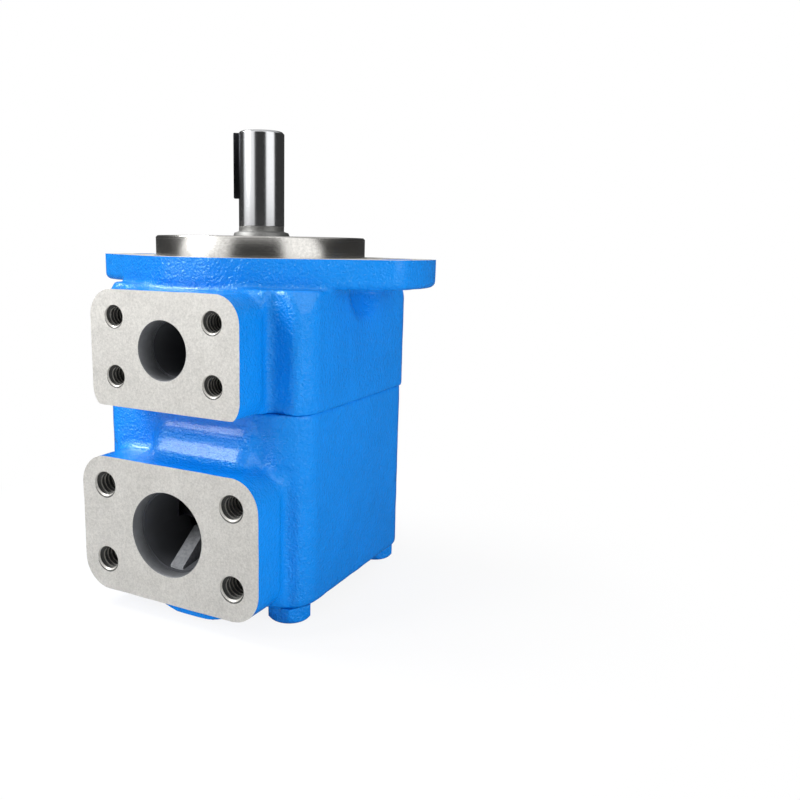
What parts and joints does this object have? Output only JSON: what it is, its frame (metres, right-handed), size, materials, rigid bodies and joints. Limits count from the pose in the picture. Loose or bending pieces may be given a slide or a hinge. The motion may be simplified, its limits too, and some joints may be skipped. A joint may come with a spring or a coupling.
{
  "type": "hydraulic vane pump",
  "caption": "Vane pump with a two-bolt pilot flange, keyed straight shaft, side outlet on the body, side inlet on the rear cover, and a pumping cartridge inside.",
  "frame": {"origin": "on the shaft axis, in the plane of the mounting face", "axes": "+Z out along the drive shaft; the ports face -Y; the flange ears point along +X and -X"},
  "size_m": [0.174, 0.1362, 0.2197],
  "materials": {
    "blue_paint": "glossy blue enamel over a sand casting",
    "ground_steel": "cylindrically ground steel",
    "key_steel": "dark drawn steel",
    "bearing_steel": "fine ground bearing steel",
    "pressed_steel": "pressed steel",
    "seal_rubber": "matt moulded rubber",
    "backup_plastic": "cut plastic ring",
    "plate_iron": "machined cast iron",
    "plate_bronze": "lapped bronze",
    "hardened_steel": "hardened and ground steel"
  },
  "bodies": {
    "housing": {"front_body": "blue_paint", "rear_cover": "blue_paint", "cover_screws": "blue_paint", "cover_seal": "seal_rubber", "bearing_outer_ring": "bearing_steel", "bore_retaining_ring": "key_steel", "seal_case": "pressed_steel", "seal_lip": "seal_rubber", "seal_spring": "pressed_steel", "outlet_support_plate": "plate_iron", "hub_seal": "seal_rubber", "hub_backup_ring": "backup_plastic", "outlet_side_plate": "plate_bronze", "cam_ring": "hardened_steel", "inlet_side_plate": "plate_bronze", "inlet_support_plate": "plate_iron", "rear_bushing": "plate_bronze", "locating_pins": "bearing_steel", "cartridge_screws": "pressed_steel"},
    "rotating_group": {"drive_shaft": "ground_steel", "shaft_key": "key_steel", "rotor": "hardened_steel", "bearing_inner_ring": "bearing_steel", "shaft_retaining_ring": "key_steel", "vane_inserts": "hardened_steel"},
    "ball_set": {"bearing_balls": "bearing_steel", "bearing_cage": "pressed_steel"},
    "vane_01": {"vane_01": "hardened_steel"},
    "vane_02": {"vane_02": "hardened_steel"},
    "vane_03": {"vane_03": "hardened_steel"},
    "vane_04": {"vane_04": "hardened_steel"},
    "vane_05": {"vane_05": "hardened_steel"},
    "vane_06": {"vane_06": "hardened_steel"},
    "vane_07": {"vane_07": "hardened_steel"},
    "vane_08": {"vane_08": "hardened_steel"},
    "vane_09": {"vane_09": "hardened_steel"},
    "vane_10": {"vane_10": "hardened_steel"},
    "vane_11": {"vane_11": "hardened_steel"},
    "vane_12": {"vane_12": "hardened_steel"}
  },
  "joints": [
    {"name": "shaft_spin", "type": "hinge", "parent": "housing", "child": "rotating_group", "pos_m": [0, 0, 0], "axis": [0, 0, 1], "continuous": true},
    {"name": "ball_set_spin", "type": "hinge", "parent": "housing", "child": "ball_set", "pos_m": [0, 0, -0.0145], "axis": [0, 0, 1], "continuous": true},
    {"name": "vane_01_slide", "type": "slide", "parent": "rotating_group", "child": "vane_01", "axis": [1, 0, 0], "range_m": [-0.0008, 0.00003]},
    {"name": "vane_02_slide", "type": "slide", "parent": "rotating_group", "child": "vane_02", "axis": [0.866, 0.5, 0], "range_m": [-0.0008, 0.00037]},
    {"name": "vane_03_slide", "type": "slide", "parent": "rotating_group", "child": "vane_03", "axis": [0.5, 0.866, 0], "range_m": [-0.0008, 0.00297]},
    {"name": "vane_04_slide", "type": "slide", "parent": "rotating_group", "child": "vane_04", "axis": [0, 1, 0], "range_m": [-0.0008, 0.00354]},
    {"name": "vane_05_slide", "type": "slide", "parent": "rotating_group", "child": "vane_05", "axis": [-0.5, 0.866, 0], "range_m": [-0.0008, 0.00297]},
    {"name": "vane_06_slide", "type": "slide", "parent": "rotating_group", "child": "vane_06", "axis": [-0.866, 0.5, 0], "range_m": [-0.0008, 0.00037]},
    {"name": "vane_07_slide", "type": "slide", "parent": "rotating_group", "child": "vane_07", "axis": [-1, 0, 0], "range_m": [-0.0008, 0.00003]},
    {"name": "vane_08_slide", "type": "slide", "parent": "rotating_group", "child": "vane_08", "axis": [-0.866, -0.5, 0], "range_m": [-0.0008, 0.00037]},
    {"name": "vane_09_slide", "type": "slide", "parent": "rotating_group", "child": "vane_09", "axis": [-0.5, -0.866, 0], "range_m": [-0.0008, 0.00297]},
    {"name": "vane_10_slide", "type": "slide", "parent": "rotating_group", "child": "vane_10", "axis": [0, -1, 0], "range_m": [-0.0008, 0.00354]},
    {"name": "vane_11_slide", "type": "slide", "parent": "rotating_group", "child": "vane_11", "axis": [0.5, -0.866, 0], "range_m": [-0.0008, 0.00297]},
    {"name": "vane_12_slide", "type": "slide", "parent": "rotating_group", "child": "vane_12", "axis": [0.866, -0.5, 0], "range_m": [-0.0008, 0.00037]}
  ],
  "couplings": [
    {"joint": "ball_set_spin", "follows": "shaft_spin", "ratio": 0.39688},
    {"joint": "vane_07_slide", "follows": "vane_01_slide", "ratio": 1},
    {"joint": "vane_08_slide", "follows": "vane_02_slide", "ratio": 1},
    {"joint": "vane_09_slide", "follows": "vane_03_slide", "ratio": 1},
    {"joint": "vane_10_slide", "follows": "vane_04_slide", "ratio": 1},
    {"joint": "vane_11_slide", "follows": "vane_05_slide", "ratio": 1},
    {"joint": "vane_12_slide", "follows": "vane_06_slide", "ratio": 1}
  ]
}
